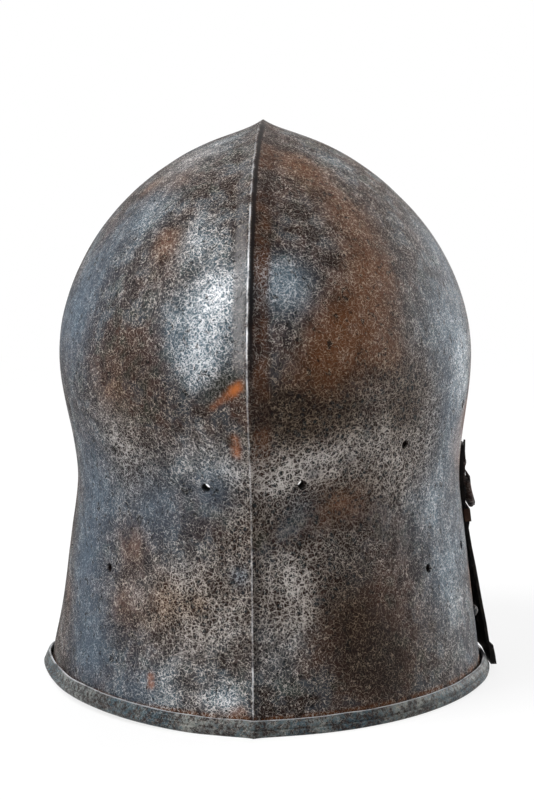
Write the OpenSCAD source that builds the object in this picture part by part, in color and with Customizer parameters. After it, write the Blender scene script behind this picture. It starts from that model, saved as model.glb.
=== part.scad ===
// Barbute: an open-faced iron war helmet with a medial ridge, a waisted nape and a rolled edge.
// Millimetres, +Z up, origin on the ground halfway between brow and nape, face opening towards -Y.
// The wearer's right side, which carries the strap and its buckle, is the -X side.

/* [Skull] */
// Width across the dome at its widest line
dome_w = 214; // [196:1:236]
// Width across the narrow line of the neck
waist_w = 201; // [186:1:212]
// Width across the wall at its lower edge
skirt_w = 223; // [208:1:240]
// How far the dome stands behind the middle
dome_back = 142; // [130:1:155]
// How far the nape stands behind the middle
waist_back = 124.5; // [115:0.5:135]
// How far the lower edge stands behind the middle
skirt_back = 134; // [125:1:145]
// How far the dome stands in front of the middle
dome_front = 125; // [115:1:138]
// How far the cheeks stand in front of the middle
waist_front = 120; // [112:1:130]
// How far the lower edge stands in front of the middle
skirt_front = 124; // [115:1:135]
// Height of the dome without its ridge
skull_h = 286; // [265:1:310]
// Height of the widest line of the dome
widest_z = 169; // [160:1:176]
// Height of the narrow line of the neck
waist_z = 105; // [98:1:112]
// Power of the level sections, where 2 is an ellipse and less is more pointed
plan_power = 1.85; // [1.75:0.05:2.3]
// Power of the dome's outline seen from behind, where 2 is round
crown_power = 1.95; // [1.8:0.05:2.2]
// Root of the same outline, where less than 2 draws the crown to a point
crown_root = 1.64; // [1.5:0.02:2]
// Thickness of the sheet
sheet_t = 1.8; // [1.5:0.1:2.2]

/* [Ridge] */
// Height of the medial ridge over the dome
ridge_h = 4.5; // [2:0.5:7]
// Distance to each side in which the ridge sinks to a third
ridge_spread = 6; // [4:0.5:10]

/* [Rolled edge] */
// Diameter of the wire inside the rolled edge
wire_d = 2.6; // [2:0.2:3.4]
// Room round the wire
wire_gap = 0.2; // [0.15:0.05:0.4]
// Length of the turned lip above the wire
lip_l = 5; // [3.5:0.5:6.5]
// How far the lip leans back towards the wall
lip_lean = 1.7; // [1:0.1:1.9]
// Depth of the flat on which the helmet stands
foot_cut = 0.8; // [0.6:0.1:1]

/* [Face opening] */
// Half the width across the eyes
eye_half = 68; // [60:1:74]
// Height of the outer corners of the eyes
eye_z = 145; // [138:1:150]
// Height of the brow edge
brow_z = 174; // [168:1:182]
// Half the width between the points of the cheeks
cheek_half = 45; // [30:1:48]
// Height of the points of the cheeks
cheek_z = 112; // [100:1:120]
// Half the width between the cheeks at the chin
chin_half = 38; // [26:1:42]
// Radius of the lower front corners
corner_r = 14; // [11:1:20]

/* [Lining holes] */
// Diameter of the holes
lining_hole_d = 4.2; // [3:0.2:5]
// Angle from the back and height of each hole on the wearer's left
left_holes = [[14.5, 121], [45, 134], [70, 148], [103, 166], [134, 184], [166, 190], [48, 72.5], [76, 73]];
// Angle from the back and height of each hole on the wearer's right
right_holes = [[15.5, 122], [47, 136], [78, 146], [103, 166], [134, 184], [166, 190], [56, 69.5], [79, 72]];

/* [Strap] */
// Width of the strap and of the buckle plate
strap_w = 16; // [14:0.5:18]
// Thickness of the strap
strap_t = 1.7; // [1.5:0.1:1.9]
// How far in front of the widest line the strap's middle lies
strap_forward = 11; // [10:1:16]
// Height of the strap's upper end
strap_top_z = 120; // [118:0.5:122]
// Height at which the strap leaves the wall
strap_free_z = 79; // [77:0.5:79]
// Height at which the strap turns over the rolled edge
strap_turn_z = 15; // [14:0.5:18]
// How far its rear edge is twisted in towards the wall there
strap_twist = 3; // [2:0.5:3]
// Height of the strap's lower end
strap_end_z = 2; // [1:0.5:4]
// Diameter of the punched holes
strap_hole_d = 3; // [2.6:0.2:3.4]
// Number of punched holes
strap_holes = 4; // [2:1:4]
// Distance between the punched holes
strap_hole_pitch = 10; // [8:1:11]
// Thickness of the keeper's leather
keeper_t = 0.9; // [0.8:0.1:1]
// Width of the keeper along the strap
keeper_l = 6.8; // [6:0.2:7]

/* [Buckle] */
// Thickness of the buckle plate
plate_t = 0.8; // [0.7:0.1:1]
// Height of the buckle's bar
bar_z = 99.5; // [99:0.5:100.5]
// Diameter of the buckle's bar
bar_d = 1.8; // [1.6:0.1:2]
// Running room of the bar in the plate's knuckles and in the tongue's eye
bar_gap = 0.05; // [0.03:0.01:0.08]
// Width of the tongue
tongue_w = 2.6; // [2:0.2:3]
// Diameter of the buckle frame's rod
frame_d = 3; // [2.8:0.1:3.2]
// Length of the frame from the bar to its far side
frame_l = 11.5; // [11:0.5:12]
// Radius of the frame's corners, on the rod's middle
frame_corner_r = 5; // [4:0.5:6]
// How far the frame leans out from upright at rest
frame_lean = 10; // [9:0.5:14]

/* [Rivets] */
// Diameter of the rivets' shanks
shank_d = 3; // [2.6:0.2:3.2]
// Room round a shank in its holes
shank_gap = 0.05; // [0.03:0.01:0.1]
// Height at which the plate's folded lower end meets its front again
fold_top_z = 106; // [105:0.5:107]
// Height of the plate's rivets
plate_rivet_z = 110.5; // [110:0.5:111]
// Distance between the plate's rivets
plate_rivet_pitch = 8; // [7.5:0.5:9]
// Diameter of the plate rivets' heads
plate_head_d = 5; // [4.4:0.2:5.4]
// Angle from the back of the lone rivet in the skirt
skirt_rivet_angle = 89.5; // [84:0.5:90]
// Height of the lone rivet in the skirt
skirt_rivet_z = 33; // [30:1:38]
// Diameter of the lone rivet's head
skirt_head_d = 6.2; // [5.6:0.2:7]
// Diameter of the washers inside
rove_d = 7.2; // [6.4:0.2:7.4]
// Thickness of the washers
rove_t = 0.9; // [0.7:0.1:1.2]

/* [Hidden] */
$fn = 32;

iron = [0.27, 0.24, 0.23];
bright_iron = [0.42, 0.40, 0.38];
black_leather = [0.07, 0.055, 0.05];
brown_leather = [0.17, 0.10, 0.07];

// Half the count of columns round the bowl, how far they crowd towards the ridge, and the last one
// that gives way to the face opening
half_columns = 26;
crowding = 0.85;
join_column = 12;
columns = 2 * half_columns;
// Rows in the front corners, up to the cheeks, up to the eyes, over the brow and over the dome
corner_rows = 5;
cheek_rows = 5;
eye_rows = 5;
brow_rows = 7;
dome_rows = 10;
// Steps of the turn round the wire, so many that two of them meet flat underneath
turn_steps = 5;
wire_sides = 8;

// How soft the bend from the flare into the waist is, as a share of the waist's height
waist_soft = 0.06;

turn_r = wire_d / 2 + wire_gap + sheet_t / 2;
edge_z = turn_r + sheet_t / 2 - foot_cut;
// Where the widest line lies, so that the brow and the nape reach equally far from the origin
middle_y = (dome_front + 2 * turn_r - dome_back) / 2;
seat_gap = 0.3;
face_gap = 0.05;
// A flat washer stands this far off the curved wall
rove_gap = 0.7;

function mix(a, b, t) = a + (b - a) * t;
function smooth(t) = t <= 0 ? 0 : t >= 1 ? 1 : t * t * (3 - 2 * t);
function power(v, p) = v <= 0 ? 0 : pow(v, p);
function unit(v) = v / norm(v);

// The flare of the skirt: no slope at the waist, then a straight line down to the edge
function flare(u) =
    (sqrt(u * u + waist_soft * waist_soft) - waist_soft) / (sqrt(1 + waist_soft * waist_soft) - waist_soft);
// A half width or depth of the bowl at a height: a flare below the waist, a swell above it, then the dome
function profile(z, skirt, waist, widest, p, q) =
    z <= waist_z ? mix(waist, skirt, flare((waist_z - z) / waist_z))
    : z <= widest_z ? mix(waist, widest, smooth((z - waist_z) / (widest_z - waist_z)))
    : widest * power(1 - pow(min((z - widest_z) / (skull_h - widest_z), 1), p), 1 / q);
function half_width(z) = profile(z, skirt_w / 2, waist_w / 2, dome_w / 2, crown_power, crown_root);
function back_depth(z) = profile(z, skirt_back, waist_back, dome_back, 2, 2);
function front_depth(z) = profile(z, skirt_front, waist_front, dome_front, 2, 2);

// A point of the bowl without its ridge; the angle goes round from the front by the wearer's left
function bowl(z, turn) =
    let (s = sin(turn), c = cos(turn), e = 2 / plan_power,
         depth = c > 0 ? front_depth(z) : back_depth(z))
    [half_width(z) * sign(s) * power(abs(s), e), middle_y - depth * sign(c) * power(abs(c), e), z];
function bowl_normal(z, turn) =
    let (dz = min(0.5, (skull_h - z) / 4))
    unit(cross(bowl(z, turn + 1) - bowl(z, turn - 1), bowl(z + dz, turn) - bowl(z - dz, turn)));
function ridge(x) = ridge_h * exp(-abs(x) / ridge_spread);
// A point of the sheet, at a depth under its outer face
function sheet(z, turn, depth) =
    let (p = bowl(z, turn))
    p + bowl_normal(z, turn) * (ridge(p[0]) - depth);

// Half the width of the face opening at a height
function face_half(z) =
    let (in_corner = max(corner_r - (z - edge_z), 0),
         corner = corner_r - sqrt(pow(corner_r, 2) - pow(in_corner, 2)))
    z >= eye_z ? eye_half * sqrt(max(1 - pow((z - eye_z) / (brow_z - eye_z), 2), 0))
    : z >= cheek_z ? mix(cheek_half, eye_half, smooth((z - cheek_z) / (eye_z - cheek_z)))
    : mix(chin_half, cheek_half, smooth(z / cheek_z)) + corner;

// Heights of the rows where they meet the face opening, and round the back, where they are even
corner_top = edge_z + corner_r;
brow_rise = asin((brow_z - widest_z) / (skull_h - widest_z));
front_row_z = [
    for (i = [0 : corner_rows - 1]) edge_z + corner_r * (1 - cos(90 * i / corner_rows)),
    for (i = [0 : cheek_rows - 1]) mix(corner_top, cheek_z, i / cheek_rows),
    for (i = [0 : eye_rows - 1]) mix(cheek_z, eye_z, i / eye_rows),
    for (i = [0 : brow_rows]) mix(eye_z, brow_z, sin(90 * i / brow_rows)),
    for (i = [1 : dome_rows - 1])
        widest_z + (skull_h - widest_z) * sin(mix(brow_rise, 90, i / dome_rows))
];
rows = len(front_row_z);
open_rows = corner_rows + cheek_rows + eye_rows + brow_rows;
back_row_z = [
    for (i = [0 : rows - 1]) i < open_rows ? mix(edge_z, brow_z, i / open_rows) : front_row_z[i]
];

// Angle of a column in a closed row, and the same where the face opening pushes it back
function ring_turn(j) =
    let (u = 1 - 2 * j / half_columns)
    90 * (1 - mix(u, sin(90 * u), crowding));
join_turn = ring_turn(join_column);
function edge_turn(z) = z >= brow_z ? 0
    : asin(min(pow(face_half(z) / half_width(z), plan_power / 2), 1));
// Angle and height of a cell of the bowl, counted from one side of the face opening round the back
function cell_turn(i, j) =
    let (near = ring_turn(min(j, columns - j)),
         turn = near < join_turn ? mix(edge_turn(front_row_z[i]), join_turn, near / join_turn) : near)
    j <= half_columns ? turn : 360 - turn;
function cell_z(i, j) =
    mix(front_row_z[i], back_row_z[i], smooth(ring_turn(min(j, columns - j)) / join_turn));
function cell_point(i, j, depth) = sheet(cell_z(i, j), cell_turn(i, j), depth);

function row_length(i) = i < open_rows ? columns + 1 : columns;
function row_start(i) =
    i <= open_rows ? i * (columns + 1) : open_rows * (columns + 1) + (i - open_rows) * columns;
skin_count = row_start(rows) + 1;
function skin_index(i, j, skin) = skin * skin_count + row_start(i) + (j % row_length(i));
function skin_points(depth) = [
    for (i = [0 : rows - 1]) for (j = [0 : row_length(i) - 1]) cell_point(i, j, depth),
    [0, middle_y, skull_h + ridge_h - depth]
];

// The free edge of the sheet as one closed loop: along the bottom, up one cheek and down the other
edge_cells = [
    for (j = [0 : columns]) [0, j],
    for (i = [1 : open_rows - 1]) [i, columns],
    [open_rows, 0],
    for (i = [1 : open_rows - 1]) [open_rows - i, 0]
];
edge_count = len(edge_cells);
function edge_sheet(k, depth) =
    let (cell = edge_cells[(k + edge_count) % edge_count])
    cell_point(cell[0], cell[1], depth);
function edge_normal(k) =
    let (cell = edge_cells[k])
    bowl_normal(cell_z(cell[0], cell[1]), cell_turn(cell[0], cell[1]));
// Direction out of the sheet, square to its edge
function edge_outward(k) =
    let (along = unit(edge_sheet(k + 1, sheet_t / 2) - edge_sheet(k - 1, sheet_t / 2)))
    unit(cross(along, edge_normal(k)));

// Middle of the rolled sheet beyond the edge, as [outward, away from the wall], and its inner side
turn_path = [
    for (i = [1 : turn_steps])
        let (a = 180 * i / turn_steps)
        [[turn_r * sin(a), turn_r * (1 - cos(a))], [-sin(a), cos(a)]],
    let (lip = unit([-lip_l, -lip_lean]))
        [[-lip_l, 2 * turn_r - lip_lean], [lip[1], -lip[0]]]
];
turns = len(turn_path);
function on_ground(p) = [p[0], p[1], max(p[2], 0)];
function roll_point(k, step, side) =
    let (at = turn_path[step][0] + turn_path[step][1] * side * sheet_t / 2)
    on_ground(edge_sheet(k, sheet_t / 2) + edge_outward(k) * at[0] + edge_normal(k) * at[1]);
roll_points = [
    for (k = [0 : edge_count - 1]) for (step = [0 : turns - 1]) for (side = [1, -1])
        roll_point(k, step, side)
];
// Index of a point of the roll; step 0 is the sheet's own edge
function roll_index(k, step, skin) =
    let (cell = edge_cells[k % edge_count])
    step == 0 ? skin_index(cell[0], cell[1], skin)
    : 2 * skin_count + ((k % edge_count) * turns + step - 1) * 2 + skin;

function quad(a, b, c, d) = [[a, b, c], [a, c, d]];
function flipped(faces, flip) = flip ? [for (f = faces) [f[0], f[2], f[1]]] : faces;
function skin_faces(skin) = flipped([
    for (i = [0 : rows - 2]) for (j = [0 : columns - 1])
        each quad(skin_index(i, j, skin), skin_index(i + 1, j, skin),
                  skin_index(i + 1, j + 1, skin), skin_index(i, j + 1, skin)),
    for (j = [0 : columns - 1])
        [skin_index(rows - 1, j, skin), skin * skin_count + skin_count - 1,
         skin_index(rows - 1, j + 1, skin)]
], skin == 1);
function roll_faces(skin) = flipped([
    for (k = [0 : edge_count - 1]) for (step = [0 : turns - 1])
        each quad(roll_index(k, step, skin), roll_index(k + 1, step, skin),
                  roll_index(k + 1, step + 1, skin), roll_index(k, step + 1, skin))
], skin == 1);
lip_faces = [
    for (k = [0 : edge_count - 1])
        each quad(roll_index(k, turns, 0), roll_index(k + 1, turns, 0),
                  roll_index(k + 1, turns, 1), roll_index(k, turns, 1))
];

// Stands its children on the bowl: +Z out of the wall, at an angle from the back and a height
module on_wall(angle, z) {
    turn = 180 - angle;
    at = bowl(z, turn);
    out = bowl_normal(z, turn);
    translate(at + out * ridge(at[0]))
        rotate([0, acos(out[2]), atan2(out[1], out[0])]) children();
}
module wall_hole(angle, z, d) {
    on_wall(angle, z) cylinder(d = d, h = 6 * sheet_t, center = true);
}

// The strap's own frame on the right cheek: +X out of the wall, +Z up, +Y forward along the wall
function wall_x(z) =
    half_width(z) * power(1 - pow(strap_forward / front_depth(z), plan_power), 1 / plan_power);
cheek_slope = atan2(pow(strap_forward / front_depth(waist_z), plan_power - 1) / front_depth(waist_z),
    pow(wall_x(waist_z) / half_width(waist_z), plan_power - 1) / half_width(waist_z));
// The wall's outer face at a height, in that frame
function wall_off(z) = (wall_x(z) - wall_x(waist_z)) * cos(cheek_slope);
module at_cheek() {
    translate([-wall_x(waist_z), middle_y - strap_forward, 0]) rotate([0, 0, 180 + cheek_slope]) children();
}
// Extrudes an outline drawn as [out of the wall, height] along the wall
module across(outline, w) {
    rotate([90, 0, 0]) linear_extrude(height = w, center = true) polygon(outline);
}
module out_hole(y, z, d) {
    translate([wall_off(z), y, z]) rotate([0, 90, 0]) cylinder(d = d, h = 40, center = true);
}

// Strap: it lies on the wall under the plate, rises for its keeper, hangs free and passes over the roll
keeper_low_z = strap_free_z + 0.5;
keeper_top_z = keeper_low_z + keeper_l;
lifted = seat_gap + keeper_t + face_gap;
// Length over which the strap rises to its keeper, and how far it runs straight past it
strap_rise = 3.5;
keeper_margin = 0.5;
lip_top_z = edge_z + lip_l + sheet_t / 2;
lip_off = wall_off(lip_top_z) + 2 * turn_r - lip_lean + seat_gap;
roll_off = wall_off(edge_z) + 2 * turn_r + seat_gap;
turn_off = lip_off - seat_gap;
// The strap's end is folded back and stitched, which makes it thicker
tab_swell = 1;
tab_step = 2;
// Where that end starts: its share of the way out to the lip, and the share of the twist left in it
tab_out = 0.3;
tab_twist = 0.6;
hang_z = keeper_low_z - strap_rise;
// Steps in which the strap and the plate follow the curved wall, and in which the strap twists
run_steps = 16;
twist_steps = 6;
// Down the strap: height, place of the inner face off the wall, twist of the rear edge inwards, swell
strap_run = [
    for (i = [0 : run_steps])
        let (z = mix(strap_top_z, keeper_top_z + strap_rise, i / run_steps))
        [z, wall_off(z) + seat_gap, 0, 0],
    for (z = [keeper_top_z + keeper_margin, keeper_low_z - keeper_margin]) [z, wall_off(z) + lifted, 0, 0],
    for (i = [0 : twist_steps])
        let (t = i / twist_steps)
        [mix(hang_z, strap_turn_z, t), mix(wall_off(hang_z) + seat_gap, turn_off, t), strap_twist * t, 0],
    [strap_turn_z - tab_step, mix(turn_off, lip_off, tab_out), strap_twist * tab_twist, tab_swell],
    [lip_top_z, lip_off, 0, tab_swell],
    [edge_z, roll_off, 0, tab_swell],
    [strap_end_z, roll_off, 0, tab_swell]
];
stations = len(strap_run);
// A corner of the strap's section: side 0 is the rear edge and 1 the front one, skin 0 the inner face
function strap_point(i, side, skin) =
    let (at = strap_run[i])
    [at[1] - (1 - side) * at[2] + skin * (strap_t + at[3]), (side - 0.5) * strap_w, at[0]];
strap_points = [
    for (i = [0 : stations - 1]) for (c = [[0, 0], [1, 0], [1, 1], [0, 1]]) strap_point(i, c[0], c[1])
];
strap_faces = [
    for (i = [0 : stations - 2]) for (c = [0 : 3])
        each quad(4 * i + c, 4 * i + (c + 1) % 4, 4 * i + 4 + (c + 1) % 4, 4 * i + 4 + c),
    each quad(0, 3, 2, 1),
    each quad(4 * stations - 4, 4 * stations - 3, 4 * stations - 2, 4 * stations - 1)
];
end_r = 3;
reach = 60;

module strap() color(black_leather) at_cheek() difference() {
    intersection() {
        polyhedron(points = strap_points, faces = strap_faces);
        // Rounds the corners of both ends in the face of the strap
        rotate([0, 90, 0]) linear_extrude(height = reach, center = true)
            translate([-strap_top_z, -strap_w / 2])
                rounded_rectangle(strap_top_z - strap_end_z, strap_w, end_r);
    }
    plate_rivet_holes();
    for (i = [1 : strap_holes]) out_hole(0, strap_turn_z + i * strap_hole_pitch, strap_hole_d);
}

module rounded_rectangle(l, w, r) {
    translate([r, 0]) square([l - 2 * r, w]);
    translate([0, r]) square([l, w - 2 * r]);
    for (x = [r, l - r]) for (y = [r, w - r]) translate([x, y]) circle(r);
}

// A stretch of the strap's own section, grown on every side
module strap_band(low, top, grow) {
    inner = [for (z = [top, low]) [wall_off(z) + lifted - grow, z]];
    outer = [for (z = [low, top]) [wall_off(z) + lifted + strap_t + grow, z]];
    across(concat(inner, outer), strap_w + 2 * grow);
}
module strap_keeper() color(brown_leather) at_cheek() difference() {
    strap_band(keeper_low_z, keeper_top_z, keeper_t + face_gap);
    strap_band(keeper_low_z - keeper_margin, keeper_top_z + keeper_margin, face_gap);
}

// Buckle plate: a pointed leaf on the strap, folded round the bar below and back up in front
knuckle_r = bar_d / 2 + bar_gap + plate_t;
leaf_off = seat_gap + strap_t + 2 * face_gap;
bar_x = wall_off(bar_z) + seat_gap + strap_t + 4 * face_gap + knuckle_r;
slot_room = 0.6;
slot_w = tongue_w + 2 * slot_room;
tip_rise = 1.5;
tip_half = 0.8;
shoulder_rise = 3;
// The plate's neck: its share of the half width, and of the way from the shoulders up to the tip
neck_share = 0.55;
neck_rise = 0.3;
// Share of the fold's height at which its front starts to lean in
fold_bend = 0.6;
plate_tip_z = strap_top_z + tip_rise;
plate_shoulder_z = plate_rivet_z + shoulder_rise;
fold_bend_z = mix(bar_z, fold_top_z, fold_bend);
fold_outer = [
    [bar_x + knuckle_r, bar_z],
    [bar_x + knuckle_r - plate_t / 2, fold_bend_z],
    [wall_off(fold_top_z) + leaf_off + 2 * plate_t - face_gap, fold_top_z]
];
function reversed(list) = [for (i = [len(list) - 1 : -1 : 0]) list[i]];
module along_bar(r, l) {
    translate([bar_x, 0, bar_z]) rotate([90, 0, 0]) cylinder(r = r, h = l, center = true);
}
module buckle_plate() color(iron) at_cheek() difference() {
    union() {
        intersection() {
            leaf = [
                for (i = [0 : run_steps])
                    let (z = mix(bar_z, plate_tip_z, i / run_steps)) [wall_off(z) + leaf_off, z]
            ];
            across(concat(leaf, [for (p = reversed(leaf)) p + [plate_t, 0]]), strap_w);
            rotate([90, 0, 90]) linear_extrude(height = reach, center = true) plate_outline();
        }
        across(concat(fold_outer, [for (p = reversed(fold_outer)) p - [plate_t, 0]]), strap_w);
        along_bar(knuckle_r, strap_w);
    }
    along_bar(bar_d / 2 + bar_gap, 2 * strap_w);
    // The tongue's slot, through both leaves
    translate([0, -slot_w / 2, bar_z - 2 * knuckle_r])
        cube([reach, slot_w, fold_top_z - bar_z + 2 * knuckle_r]);
    plate_rivet_holes();
}
// Straight sides, then two hollow shoulders that rise to the point
module plate_outline() {
    half = strap_w / 2;
    neck = [half * neck_share, mix(plate_shoulder_z, plate_tip_z, neck_rise)];
    right = [[half, bar_z], [half, plate_shoulder_z], neck, [tip_half, plate_tip_z]];
    difference() {
        polygon(concat(right, [for (p = reversed(right)) [-p[0], p[1]]]));
        for (y = [-1, 1]) translate([y * half, neck[1]]) circle(d = half / 2);
    }
}

// A rivet along +Z: its domed head stands on the plane z = 0, its shank goes down through the grip
tail_h = 0.8;
tail_swell = 1.4;
module rivet(head_d, rise, grip) {
    cap_r = (pow(head_d / 2, 2) + pow(rise, 2)) / (2 * rise);
    intersection() {
        translate([0, 0, rise - cap_r]) sphere(r = cap_r, $fn = 48);
        cylinder(d = head_d, h = 2 * rise);
    }
    translate([0, 0, -grip]) cylinder(d = shank_d, h = grip + rise / 4);
    // The shank's end, hammered over the washer
    translate([0, 0, -grip - tail_h]) cylinder(d1 = shank_d, d2 = shank_d + tail_swell, h = tail_h);
}
module rove() {
    difference() {
        cylinder(d = rove_d, h = rove_t);
        cylinder(d = shank_d + 2 * shank_gap, h = 4 * rove_t, center = true);
    }
}
rove_off = sheet_t + rove_gap + rove_t;
head_gap = 0.2;

module at_plate_rivets(off) {
    at_cheek() for (y = [-1, 1])
        translate([wall_off(plate_rivet_z) + off, y * plate_rivet_pitch / 2, plate_rivet_z])
            rotate([0, 90, 0]) children();
}
module plate_rivet_holes() {
    for (y = [-1, 1]) out_hole(y * plate_rivet_pitch / 2, plate_rivet_z, shank_d + 2 * shank_gap);
}
plate_head_off = leaf_off + plate_t + head_gap;
plate_head_rise = 0.8;
module plate_rivets() color(bright_iron) at_plate_rivets(plate_head_off)
    rivet(plate_head_d, plate_head_rise, plate_head_off + rove_off + face_gap);
module plate_roves() color(iron) at_plate_rivets(-rove_off) rove();

skirt_head_rise = 2;
module skirt_rivet() color(bright_iron) on_wall(-skirt_rivet_angle, skirt_rivet_z)
    translate([0, 0, head_gap]) rivet(skirt_head_d, skirt_head_rise, head_gap + rove_off + face_gap);
module skirt_rove() color(iron) on_wall(-skirt_rivet_angle, skirt_rivet_z)
    translate([0, 0, -rove_off]) rove();

// The buckle hangs from its bar, which lies along Y through the origin of this frame
module at_bar() {
    at_cheek() translate([bar_x, 0, bar_z]) rotate([0, -frame_lean, 0]) children();
}
arm_gap = 0.5;
arm_y = strap_w / 2 + arm_gap + frame_d / 2;
module rod(from, to) {
    v = to - from;
    translate(from) rotate([0, acos(v[2] / norm(v)), atan2(v[1], v[0])]) cylinder(d = frame_d, h = norm(v));
}
module buckle_frame() color(iron) at_bar() {
    rotate([90, 0, 0]) cylinder(d = bar_d, h = 2 * arm_y, center = true);
    for (side = [-1, 1]) {
        translate([0, side * arm_y, 0]) sphere(d = frame_d);
        rod([0, side * arm_y, 0], [0, side * arm_y, frame_corner_r - frame_l]);
        translate([0, side * (arm_y - frame_corner_r), frame_corner_r - frame_l])
            rotate([0, 90, 0]) rotate_extrude(start = side > 0 ? 0 : 270, angle = 90)
                translate([frame_corner_r, 0]) circle(d = frame_d);
    }
    rod([0, frame_corner_r - arm_y, -frame_l], [0, arm_y - frame_corner_r, -frame_l]);
}

// The tongue lies on the frame's far side and ends just past it, where it is filed thin
tongue_t = 1.1;
tongue_tip_t = 0.6;
tongue_past = 1.8;
tongue_rest = 0.15;
module buckle_tongue() color(bright_iron) at_bar() {
    eye_r = bar_d / 2 + bar_gap + plate_t;
    over = frame_d / 2 + tongue_rest;
    tip_z = -frame_l - tongue_past;
    difference() {
        union() {
            rotate([90, 0, 0]) cylinder(r = eye_r, h = tongue_w, center = true);
            across([[bar_d / 2 + bar_gap, 0], [eye_r, 0], [over + tongue_t, -frame_l],
                    [over + tongue_tip_t, tip_z], [over, tip_z]], tongue_w);
        }
        rotate([90, 0, 0]) cylinder(d = bar_d + 2 * bar_gap, h = 2 * tongue_w, center = true);
    }
}

module skull() color(iron) difference() {
    polyhedron(points = concat(skin_points(0), skin_points(sheet_t), roll_points),
        faces = concat(skin_faces(0), skin_faces(1), roll_faces(0), roll_faces(1), lip_faces));
    for (h = left_holes) wall_hole(h[0], h[1], lining_hole_d);
    for (h = right_holes) wall_hole(-h[0], h[1], lining_hole_d);
    wall_hole(-skirt_rivet_angle, skirt_rivet_z, shank_d + 2 * shank_gap);
    at_cheek() plate_rivet_holes();
}

function wire_index(k, s) = (k % edge_count) * wire_sides + s % wire_sides;
module rim_wire() color(bright_iron) {
    ring = [
        for (s = [0 : wire_sides - 1])
            let (a = 360 * s / wire_sides) wire_d / 2 * [cos(a), sin(a)]
    ];
    points = [
        for (k = [0 : edge_count - 1]) for (p = ring)
            edge_sheet(k, sheet_t / 2) + edge_outward(k) * p[0] + edge_normal(k) * (turn_r + p[1])
    ];
    polyhedron(points = points, faces = [
        for (k = [0 : edge_count - 1]) for (s = [0 : wire_sides - 1])
            each quad(wire_index(k, s), wire_index(k + 1, s),
                      wire_index(k + 1, s + 1), wire_index(k, s + 1))
    ]);
}

skull();
rim_wire();
skirt_rivet();
skirt_rove();
strap();
strap_keeper();
buckle_plate();
plate_rivets();
plate_roves();
buckle_frame();
buckle_tongue();
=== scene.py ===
import math
import random

import bmesh
import bpy
import numpy as np
from mathutils import Matrix, Vector, noise
from mathutils.kdtree import KDTree


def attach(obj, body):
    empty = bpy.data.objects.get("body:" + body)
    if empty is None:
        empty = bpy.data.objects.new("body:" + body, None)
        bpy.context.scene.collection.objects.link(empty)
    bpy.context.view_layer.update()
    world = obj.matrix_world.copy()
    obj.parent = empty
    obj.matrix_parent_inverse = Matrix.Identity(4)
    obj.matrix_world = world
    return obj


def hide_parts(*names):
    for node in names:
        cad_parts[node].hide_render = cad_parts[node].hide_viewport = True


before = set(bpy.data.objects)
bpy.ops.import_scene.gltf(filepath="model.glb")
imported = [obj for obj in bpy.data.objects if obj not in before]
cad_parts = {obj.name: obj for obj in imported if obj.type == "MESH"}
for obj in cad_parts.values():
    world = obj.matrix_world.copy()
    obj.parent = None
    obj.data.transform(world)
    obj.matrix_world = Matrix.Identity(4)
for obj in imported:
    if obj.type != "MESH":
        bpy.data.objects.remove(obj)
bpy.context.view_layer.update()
scene = bpy.context.scene
scene.view_settings.view_transform = "Standard"
print("frame loaded:", ", ".join(sorted(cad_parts)))


# Shader maths: a wrapped socket that can be written in sums
class Wire:
    def __init__(self, paint, socket):
        self.paint = paint
        self.socket = socket

    def sum(self, operation, first, second):
        return self.paint.node("Math", {"operation": operation}, {0: first, 1: second})

    def __add__(self, other):
        return self.sum("ADD", self, other)

    def __sub__(self, other):
        return self.sum("SUBTRACT", self, other)

    def __rsub__(self, other):
        return self.sum("SUBTRACT", other, self)

    def __mul__(self, other):
        return self.sum("MULTIPLY", self, other)

    __radd__ = __add__
    __rmul__ = __mul__


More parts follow.
